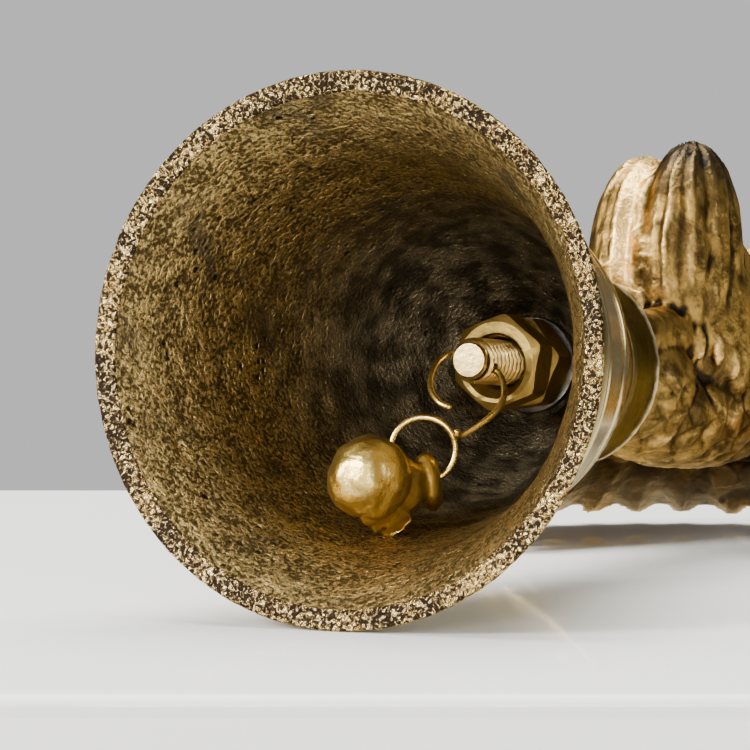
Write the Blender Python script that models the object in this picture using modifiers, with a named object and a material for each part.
"""Brass puja bell lying on its side: cast shell, figured handle, and a clapper hung on wire links.

Everything is modelled in the bell's own frame: +Z runs along the bell's axis from the mouth to the
tip of the handle, X is sideways and -Y is the figure's front. The empty bell_frame then lays the
bell down, mouth towards world -Y, so that the rim and both wing tips touch the plane z = 0.
"""

from math import cos, pi, radians, sin, tan

import bmesh
import bpy
from mathutils import Matrix, Vector

MM = 0.001

# Driving dimensions, in millimetres.
MOUTH_R = 34.0
LIP_WALL = 2.6
CROWN_TOP = 63.7
CROWN_INNER = 60.5
BASE_R = 13.4
BASE_START = 64.0
BASE_END = 72.6
FIGURE_START = 72.9
FIGURE_END = 186.5
STUD_R = 3.0
STUD_TIP = 38.6
STUD_END = 81.5
STUD_HOLE_R = 3.3
NUT_FLATS = 11.4
NUT_START = 47.4
NUT_HEIGHT = 5.4
WASHER_R = 6.5
WASHER_HEIGHT = 1.4
GAP = 0.3
WIRE_R = 0.41
HOOK_HOLE_Z = 40.9
HOOK_HOLE_R = 0.75
RING_R = 4.1
BALL_R = 5.6
EYE_HOLE_R = 1.4

# How the bell lies: its handle end dips, and the box of the whole model is centred on X and Y.
TILT = radians(3.9)
MOUTH_Y = -91.9

# The hook's hole slants across the stud, and the hook hangs towards the mouth.
HOLE_SLANT = radians(21.0)
HOOK_DROOP = radians(37.0)

# Joint points of the hanging links, as (side, front, axis).
RING_PIVOT = (0.0, -8.1, 30.3)
RING_CENTRE = (-1.9, -11.7, 29.3)
EYE_PIVOT = (-1.05, -15.7, 29.45)
BALL_CENTRE = (-4.9, -15.3, 20.0)
STUB_TIP = (-2.7, -20.9, 21.0)

COLLECTION = "puja_bell"
CUTTERS = "cutters"


def point(side, front, along):
    """A point of the bell frame in metres, from millimetres to the side, front and along the axis."""
    return Vector((side, -front, along)) * MM


def direction(side, front, along):
    return Vector((side, -front, along)).normalized()


HOLE_AXIS = direction(cos(HOLE_SLANT), -sin(HOLE_SLANT), 0.0)
HOOK_AXIS = direction(0.0, -sin(HOOK_DROOP), -cos(HOOK_DROOP))
# The ring's plane faces out of the mouth and a little to the side.
RING_NORMAL = direction(0.405, 0.05, -0.912)


def clear_scene():
    for item in list(bpy.data.objects):
        bpy.data.objects.remove(item)
    for name in (COLLECTION, CUTTERS):
        group = bpy.data.collections.new(name)
        bpy.context.scene.collection.children.link(group)


def make_material(name, colour, roughness, metallic=1.0):
    material = bpy.data.materials.new(name)
    material.use_nodes = True
    shader = material.node_tree.nodes["Principled BSDF"]
    shader.inputs["Base Color"].default_value = (*colour, 1.0)
    shader.inputs["Roughness"].default_value = roughness
    shader.inputs["Metallic"].default_value = metallic
    return material


def add_object(name, mesh, material, pivot=None):
    """Link a mesh as a part. With a pivot, the mesh is moved so that its origin lies on it."""
    if pivot is not None:
        mesh.transform(Matrix.Translation(-pivot))
    item = bpy.data.objects.new(name, mesh)
    item.parent = bpy.data.objects["bell_frame"]
    if pivot is not None:
        item.location = pivot
    item.data.materials.clear()
    item.data.materials.append(material)
    bpy.data.collections[COLLECTION].objects.link(item)
    return item


def add_cutter(name, mesh, pivot=None):
    if pivot is not None:
        mesh.transform(Matrix.Translation(-pivot))
    item = bpy.data.objects.new(name, mesh)
    item.parent = bpy.data.objects["bell_frame"]
    if pivot is not None:
        item.location = pivot
    item.hide_render = True
    item.display_type = "WIRE"
    bpy.data.collections[CUTTERS].objects.link(item)
    return item


def boolean(item, cutter, operation="DIFFERENCE"):
    modifier = item.modifiers.new(cutter.name, "BOOLEAN")
    modifier.operation = operation
    modifier.object = cutter
    return modifier


def evaluated_mesh(item):
    graph = bpy.context.evaluated_depsgraph_get()
    return bpy.data.meshes.new_from_object(item.evaluated_get(graph))


def smooth_line(points, per_span):
    """Points of a Catmull-Rom curve through the given ones, per_span to each stretch."""
    ends = [points[0], *points, points[-1]]
    line = []
    for index in range(1, len(ends) - 2):
        before, start, end, after = (Vector(p) for p in ends[index - 1:index + 3])
        for step in range(per_span):
            t = step / per_span
            line.append(
                0.5 * (2 * start + (end - before) * t
                       + (2 * before - 5 * start + 4 * end - after) * t ** 2
                       + (3 * start - before - 3 * end + after) * t ** 3)
            )
    line.append(Vector(points[-1]))
    return line


def turned(name, profile, steps, closed):
    """A mesh turned about Z from (radius, height) points in millimetres, outer side first."""
    mesh = bpy.data.meshes.new(name)
    count = len(profile)
    edges = [(i, i + 1) for i in range(count - 1)]
    if closed:
        edges.append((count - 1, 0))
    mesh.from_pydata([(r * MM, 0.0, z * MM) for r, z in profile], edges, [])
    item = bpy.data.objects.new(name + "_profile", mesh)
    bpy.data.collections[COLLECTION].objects.link(item)
    screw = item.modifiers.new("turn", "SCREW")
    screw.steps = steps
    screw.render_steps = steps
    screw.use_merge_vertices = True
    screw.merge_threshold = 0.00001
    result = evaluated_mesh(item)
    result.name = name
    bpy.data.objects.remove(item)
    return result


def along(axis, centre):
    """The matrix that stands a primitive's Z axis along axis, with its middle at centre."""
    return Matrix.Translation(centre) @ axis.to_track_quat("Z", "Y").to_matrix().to_4x4()


def ellipsoid(bm, centre, radii, segments=20, lean=0.0):
    """Add an ellipsoid. Radii run side, front, axis, and lean turns it about the side axis."""
    matrix = (
        Matrix.Translation(point(*centre))
        @ Matrix.Rotation(lean, 4, "X")
        @ Matrix.Diagonal((*[r * MM for r in radii], 1.0))
    )
    bmesh.ops.create_uvsphere(bm, u_segments=segments, v_segments=segments // 2, radius=1.0, matrix=matrix)


def limb(bm, start, end, start_r, end_r, segments=16):
    """Add a tapered limb with round ends."""
    a, b = point(*start), point(*end)
    axis = b - a
    bmesh.ops.create_cone(
        bm, cap_ends=True, segments=segments, radius1=start_r * MM, radius2=end_r * MM,
        depth=axis.length, matrix=along(axis, (a + b) / 2),
    )
    ellipsoid(bm, start, (start_r,) * 3, segments)
    ellipsoid(bm, end, (end_r,) * 3, segments)


def cylinder_mesh(name, start, end, radius, segments, end_radius=None):
    bm = bmesh.new()
    axis = end - start
    bmesh.ops.create_cone(
        bm, cap_ends=True, segments=segments, radius1=radius * MM,
        radius2=(radius if end_radius is None else end_radius) * MM,
        depth=axis.length, matrix=along(axis, (start + end) / 2),
    )
    mesh = bpy.data.meshes.new(name)
    bm.to_mesh(mesh)
    bm.free()
    return mesh


def shell_outline():
    """The wall's section: down the outer side from the crown, and up the inner side."""
    dome = smooth_line([(13.3, 62.6), (14.3, 58.0), (17.2, 52.0), (20.9, 42.0), (21.8, 38.6)], 2)
    groove = [(21.4, 38.2), (21.4, 37.7), (22.0, 37.3)]
    waist = smooth_line([(22.6, 35.0), (24.7, 25.4)], 1)
    bead = [(25.2, 25.1), (25.2, 24.0), (24.9, 23.7), (25.35, 22.2)]
    flare = smooth_line([(25.9, 20.0), (27.5, 15.0), (30.0, 8.0), (33.2, 1.5)], 2)
    rim = [(MOUTH_R, 0.6), (MOUTH_R - 0.15, 0.0), (MOUTH_R - LIP_WALL + 0.1, 0.0), (MOUTH_R - LIP_WALL - 0.1, 0.3)]
    inside = smooth_line([(30.2, 1.8), (27.1, 8.0), (24.8, 15.0), (20.2, 35.0), (17.0, 47.0)], 1)
    vault = smooth_line([(14.3, 52.0), (11.8, 56.0), (7.2, CROWN_INNER - 0.2)], 1)
    crown = [(6.9, CROWN_INNER), (STUD_HOLE_R, CROWN_INNER)]
    top = [(STUD_HOLE_R, CROWN_TOP), (12.6, CROWN_TOP)]
    return [*top, *dome, *groove, *waist, *bead, *flare, *rim, *inside, *vault, *crown]


def make_shell(material):
    add_object("bell_shell", turned("bell_shell", shell_outline(), 48, True), material)


def make_handle_base(material):
    outline = [
        (STUD_HOLE_R, BASE_END), (BASE_R - 0.3, BASE_END), (BASE_R + 0.1, BASE_END - 0.4),
        (BASE_R + 0.1, BASE_END - 1.1), (BASE_R - 0.15, BASE_END - 1.4),
        (BASE_R - 0.15, BASE_START + 0.5), (BASE_R - 0.6, BASE_START),
        (STUD_HOLE_R, BASE_START),
    ]
    add_object("handle_base", turned("handle_base", outline, 40, True), material)


def table_front(along_axis):
    """Where the plane that the bell lies on runs, as a front distance at a place on the axis."""
    return -MOUTH_R + along_axis * tan(TILT)


def wing_mesh(side):
    """One cupped wing: a fan sheet whose scalloped edge droops to the plane the bell lies on."""
    rows, columns = 9, 37
    hub_side, hub_along, reach = 4.0, 140.0, 41.0
    feathers = 6
    bm = bmesh.new()
    bmesh.ops.create_grid(bm, x_segments=columns - 1, y_segments=rows - 1, size=1.0)
    for vertex in bm.verts:
        angle = radians(vertex.co.x * 62.0 + 2.0)
        outward = (vertex.co.y + 1) / 2
        scallop = abs(sin((vertex.co.x + 1) / 2 * feathers * pi))
        length = reach * (1.0 - 0.09 * (1.0 - scallop)) * outward
        place_side = hub_side + length * cos(angle)
        place_along = hub_along + length * sin(angle) * 0.88
        edge_front = table_front(place_along) + 1.15
        front = -4.0 + (edge_front + 4.0) * outward ** 2.4
        vertex.co = point(side * place_side, front, place_along)
    mesh = bpy.data.meshes.new("wing")
    bm.to_mesh(mesh)
    bm.free()
    item = bpy.data.objects.new("wing_sheet", mesh)
    bpy.data.collections[COLLECTION].objects.link(item)
    solid = item.modifiers.new("thickness", "SOLIDIFY")
    solid.thickness = 3.4 * MM
    solid.offset = 0.0
    result = evaluated_mesh(item)
    bpy.data.objects.remove(item)
    return result


def add_legs(bm):
    """Drawn-up knees, side by side, with the shins and feet below them."""
    ellipsoid(bm, (-4.0, 16.0, 110.5), (6.5, 15.6, 14.0))
    ellipsoid(bm, (4.0, 17.0, 109.0), (6.5, 17.0, 14.0))
    for side in (-1, 1):
        limb(bm, (side * 4.5, 9.0, 98.0), (side * 5.5, 9.5, 82.0), 5.0, 4.2)
        limb(bm, (side * 5.5, 9.0, 80.5), (side * 5.5, 12.5, 79.0), 3.6, 2.8)
    ellipsoid(bm, (4.0, 12.0, 97.0), (4.6, 4.2, 3.6), lean=radians(25))
    for finger in range(4):
        ellipsoid(bm, (0.4 + finger * 1.9, 18.6 - finger * 0.7, 95.8), (1.2, 2.6, 1.6), 12)


def add_body(bm):
    limb(bm, (0.0, 0.0, 72.0), (0.0, 0.0, 79.0), 12.2, 10.6, 40)
    ellipsoid(bm, (0.0, 1.0, 90.0), (11.0, 11.0, 14.0))
    ellipsoid(bm, (0.0, -7.5, 116.0), (11.0, 10.0, 33.0))
    ellipsoid(bm, (0.0, 0.0, 124.0), (10.5, 9.0, 24.0))
    ellipsoid(bm, (0.0, 2.0, 138.0), (11.5, 8.5, 13.0))
    limb(bm, (0.0, 1.0, 148.0), (0.0, 2.0, 157.0), 4.6, 4.2)


def add_arms(bm):
    for side in (-1, 1):
        limb(bm, (side * 11.5, 4.0, 144.0), (side * 12.5, 10.0, 131.0), 4.4, 3.6)
        limb(bm, (side * 12.5, 10.0, 131.0), (side * 7.0, 20.0, 120.0), 3.6, 2.8)


def add_head(bm):
    """A plain bird-man head with a tiered crown."""
    ellipsoid(bm, (0.0, 2.5, 160.5), (6.2, 6.8, 7.4))
    limb(bm, (0.0, 7.5, 159.5), (0.0, 11.5, 157.0), 2.4, 0.9)
    for side in (-1, 1):
        ellipsoid(bm, (side * 6.2, 1.0, 159.5), (1.6, 2.2, 3.2), 12)
    tiers = [(167.0, 6.9, 2.6), (171.5, 5.6, 2.6), (175.5, 4.3, 2.6), (179.0, 3.1, 2.6)]
    for along_axis, radius, height in tiers:
        ellipsoid(bm, (0.0, 1.5, along_axis), (radius, radius, height), 16)
    limb(bm, (0.0, 1.5, 179.0), (0.0, 1.5, FIGURE_END - 1.7), 2.4, 1.7)


def make_handle_figure(material):
    """The cast handle: a winged figure on drawn-up knees, its front towards -Y."""
    bm = bmesh.new()
    add_body(bm)
    add_legs(bm)
    add_arms(bm)
    add_head(bm)
    for side in (-1, 1):
        bm.from_mesh(wing_mesh(side))
    bmesh.ops.recalc_face_normals(bm, faces=bm.faces)
    mesh = bpy.data.meshes.new("handle_figure")
    bm.to_mesh(mesh)
    bm.free()
    item = add_object("handle_figure", mesh, material)
    skin = item.modifiers.new("one_skin", "REMESH")
    skin.mode = "VOXEL"
    skin.voxel_size = 1.25 * MM
    fewer = item.modifiers.new("fewer_faces", "DECIMATE")
    fewer.ratio = 0.11
    foot = cylinder_mesh(
        "figure_foot_cutter", point(0, 0, FIGURE_START - 20.0), point(0, 0, FIGURE_START), 25.0, 32
    )
    boolean(item, add_cutter("figure_foot_cutter", foot))
    bore = cylinder_mesh(
        "figure_bore_cutter", point(0, 0, FIGURE_START - 5.0), point(0, 0, STUD_END + 1.0), STUD_HOLE_R, 24
    )
    boolean(item, add_cutter("figure_bore_cutter", bore))


def stud_outline():
    """The stud's half section, with a thread ridge each millimetre on its free end."""
    ridges = 8
    root = STUD_R - 0.45
    thread = []
    for turn in range(ridges):
        height = STUD_TIP + 1.0 + turn
        thread += [(root, height), (STUD_R, height + 0.5)]
    thread.append((root, STUD_TIP + 1.0 + ridges))
    outline = [(0.0, STUD_TIP), (2.4, STUD_TIP), *thread, (2.95, STUD_TIP + 1.4 + ridges),
               (2.95, STUD_END - 0.5), (2.5, STUD_END), (0.0, STUD_END)]
    return outline[::-1]


def make_stud(material):
    item = add_object("clapper_stud", turned("clapper_stud", stud_outline(), 20, False), material)
    centre = point(0, 0, HOOK_HOLE_Z)
    reach = HOLE_AXIS * 6 * MM
    hole = cylinder_mesh("hook_hole_cutter", centre - reach, centre + reach, HOOK_HOLE_R, 16)
    boolean(item, add_cutter("hook_hole_cutter", hole))


def make_nut(name, start, turn, mouth_shift, material):
    """A chamfered hexagon nut whose rough countersink can sit off its centre."""
    corner_r = NUT_FLATS / 2 / cos(pi / 6)
    blank = cylinder_mesh(name, point(0, 0, start), point(0, 0, start + NUT_HEIGHT), corner_r, 6)
    blank.transform(Matrix.Rotation(turn, 4, "Z"))
    item = add_object(name, blank, material)
    bevel = 0.7
    flank = NUT_FLATS / 2 - 0.1
    rounding = turned(name + "_rounding_cutter", [
        (0.0, start + NUT_HEIGHT + 0.01), (flank, start + NUT_HEIGHT + 0.01),
        (corner_r + 0.4, start + NUT_HEIGHT - bevel), (corner_r + 0.4, start + bevel),
        (flank, start - 0.01), (0.0, start - 0.01),
    ], 36, False)
    boolean(item, add_cutter(name + "_rounding_cutter", rounding), "INTERSECT")
    bore = cylinder_mesh(
        name + "_bore_cutter", point(0, 0, start - 2.0), point(0, 0, start + NUT_HEIGHT + 2.0), STUD_HOLE_R, 32
    )
    boolean(item, add_cutter(name + "_bore_cutter", bore))
    sink = cylinder_mesh(
        name + "_sink_cutter", point(0, mouth_shift, start - 1.0), point(0, mouth_shift, start + 2.4), 4.0, 28
    )
    boolean(item, add_cutter(name + "_sink_cutter", sink))


def make_washer(material):
    start = NUT_START + 2 * (NUT_HEIGHT + GAP)
    end = start + WASHER_HEIGHT
    outline = [
        (STUD_HOLE_R + 0.1, end), (WASHER_R - 0.2, end), (WASHER_R, end - 0.2),
        (WASHER_R, start + 0.2), (WASHER_R - 0.2, start), (STUD_HOLE_R + 0.1, start),
    ]
    add_object("crown_washer", turned("crown_washer", outline, 36, True), material)


def wire_mesh(name, points):
    """A closed round wire along the points, welded at its caps."""
    curve = bpy.data.curves.new(name, "CURVE")
    curve.dimensions = "3D"
    curve.bevel_depth = WIRE_R * MM
    curve.bevel_resolution = 2
    curve.use_fill_caps = True
    spline = curve.splines.new("POLY")
    spline.points.add(len(points) - 1)
    for place, where in zip(spline.points, points):
        place.co = (*where, 1.0)
    item = bpy.data.objects.new(name, curve)
    bpy.data.collections[COLLECTION].objects.link(item)
    mesh = evaluated_mesh(item)
    bpy.data.objects.remove(item)
    bm = bmesh.new()
    bm.from_mesh(mesh)
    bmesh.ops.remove_doubles(bm, verts=bm.verts, dist=0.00001)
    bm.to_mesh(mesh)
    bm.free()
    return mesh


def hook_points():
    """The open wire loop: through the stud, down both sides, and a small curl that holds the ring.

    Each point is (along the hole, out along the droop, off the loop's plane).
    """
    route = [
        (0.4, 10.3, 0.0), (-1.6, 10.2, 0.0), (-3.4, 8.6, 0.0), (-4.4, 6.0, 0.0), (-4.5, 3.0, 0.0),
        (-3.6, 0.7, 0.0), (-2.0, 0.0, 0.0), (2.0, 0.0, 0.0), (4.0, 0.7, 0.0), (5.5, 3.0, 0.0),
        (6.1, 6.0, 0.0), (5.5, 8.8, 0.2), (4.3, 11.2, 0.7), (3.3, 12.9, 1.05), (2.9, 13.9, 0.9),
        (2.8, 14.45, 0.1), (2.8, 14.0, -0.8), (2.8, 13.1, -1.1),
    ]
    centre = point(0, 0, HOOK_HOLE_Z)
    off_plane = HOLE_AXIS.cross(HOOK_AXIS)
    return [
        centre + (HOLE_AXIS * a + HOOK_AXIS * b + off_plane * c) * MM
        for a, b, c in smooth_line(route, 2)
    ]


def make_hook(material):
    pivot = point(0, 0, HOOK_HOLE_Z)
    add_object("wire_hook", wire_mesh("wire_hook", hook_points()), material, pivot)


def ring_frame():
    """Two directions that span the ring's plane, the first towards the hook."""
    to_hook = point(*RING_PIVOT) - point(*RING_CENTRE)
    first = (to_hook - RING_NORMAL * to_hook.dot(RING_NORMAL)).normalized()
    return first, RING_NORMAL.cross(first)


def make_ring(material):
    """The clapper's closed wire ring."""
    first, second = ring_frame()
    bm = bmesh.new()
    sides, turns = 8, 36
    centre = point(*RING_CENTRE)
    loops = []
    for turn in range(turns):
        angle = 2 * pi * turn / turns
        outward = first * cos(angle) + second * sin(angle)
        loop = []
        for side in range(sides):
            round_wire = 2 * pi * side / sides
            spot = outward * (RING_R + WIRE_R * cos(round_wire)) + RING_NORMAL * WIRE_R * sin(round_wire)
            loop.append(bm.verts.new(centre + spot * MM))
        loops.append(loop)
    for turn in range(turns):
        loop, following = loops[turn], loops[(turn + 1) % turns]
        for side in range(sides):
            other = (side + 1) % sides
            bm.faces.new((loop[side], following[side], following[other], loop[other]))
    bmesh.ops.recalc_face_normals(bm, faces=bm.faces)
    mesh = bpy.data.meshes.new("clapper_ring")
    bm.to_mesh(mesh)
    bm.free()
    add_object("clapper_ring", mesh, material, point(*RING_PIVOT))


def make_clapper(material):
    """The cast clapper: a lumpy ball with an eye behind it and the stump of its pouring sprue."""
    pivot = point(*EYE_PIVOT)
    bm = bmesh.new()
    to_eye = (pivot - point(*RING_CENTRE)).normalized()
    hole_axis = RING_NORMAL.cross(to_eye).normalized()
    ellipsoid(bm, BALL_CENTRE, (BALL_R, BALL_R * 0.98, BALL_R), 24)
    limb(bm, BALL_CENTRE, EYE_PIVOT, 4.4, 1.35, 20)
    limb(bm, BALL_CENTRE, STUB_TIP, 3.4, 1.5, 16)
    tab = along(hole_axis, pivot) @ Matrix.Diagonal((3.2 * MM, 3.2 * MM, 1.35 * MM, 1.0))
    bmesh.ops.create_uvsphere(bm, u_segments=24, v_segments=12, radius=1.0, matrix=tab)
    mesh = bpy.data.meshes.new("clapper")
    bm.to_mesh(mesh)
    bm.free()
    item = add_object("clapper", mesh, material, pivot)
    skin = item.modifiers.new("one_skin", "REMESH")
    skin.mode = "VOXEL"
    skin.voxel_size = 0.5 * MM
    fewer = item.modifiers.new("fewer_faces", "DECIMATE")
    fewer.ratio = 0.12
    reach = hole_axis * 8 * MM
    hole = cylinder_mesh("eye_hole_cutter", pivot - reach, pivot + reach, EYE_HOLE_R, 16)
    boolean(item, add_cutter("eye_hole_cutter", hole))


def main():
    clear_scene()
    frame = bpy.data.objects.new("bell_frame", None)
    bpy.data.collections[COLLECTION].objects.link(frame)
    frame.rotation_euler = (-(pi / 2 + TILT), 0.0, 0.0)
    frame.location = Vector((0.0, MOUTH_Y, MOUTH_R * cos(TILT))) * MM

    polished = make_material("polished_brass", (0.72, 0.60, 0.36), 0.18)
    antique = make_material("antique_brass", (0.42, 0.27, 0.11), 0.42)
    turned_brass = make_material("brushed_brass", (0.40, 0.27, 0.12), 0.38)
    bright = make_material("bright_brass", (0.78, 0.58, 0.26), 0.3)
    steel = make_material("steel", (0.52, 0.52, 0.52), 0.35)

    make_shell(polished)
    make_handle_base(turned_brass)
    make_handle_figure(antique)
    make_stud(bright)
    make_nut("hanger_nut", NUT_START, radians(38.0), -0.5, bright)
    make_nut("lock_nut", NUT_START + NUT_HEIGHT + GAP, radians(51.0), 0.0, bright)
    make_washer(steel)
    make_hook(bright)
    make_ring(bright)
    make_clapper(bright)


main()
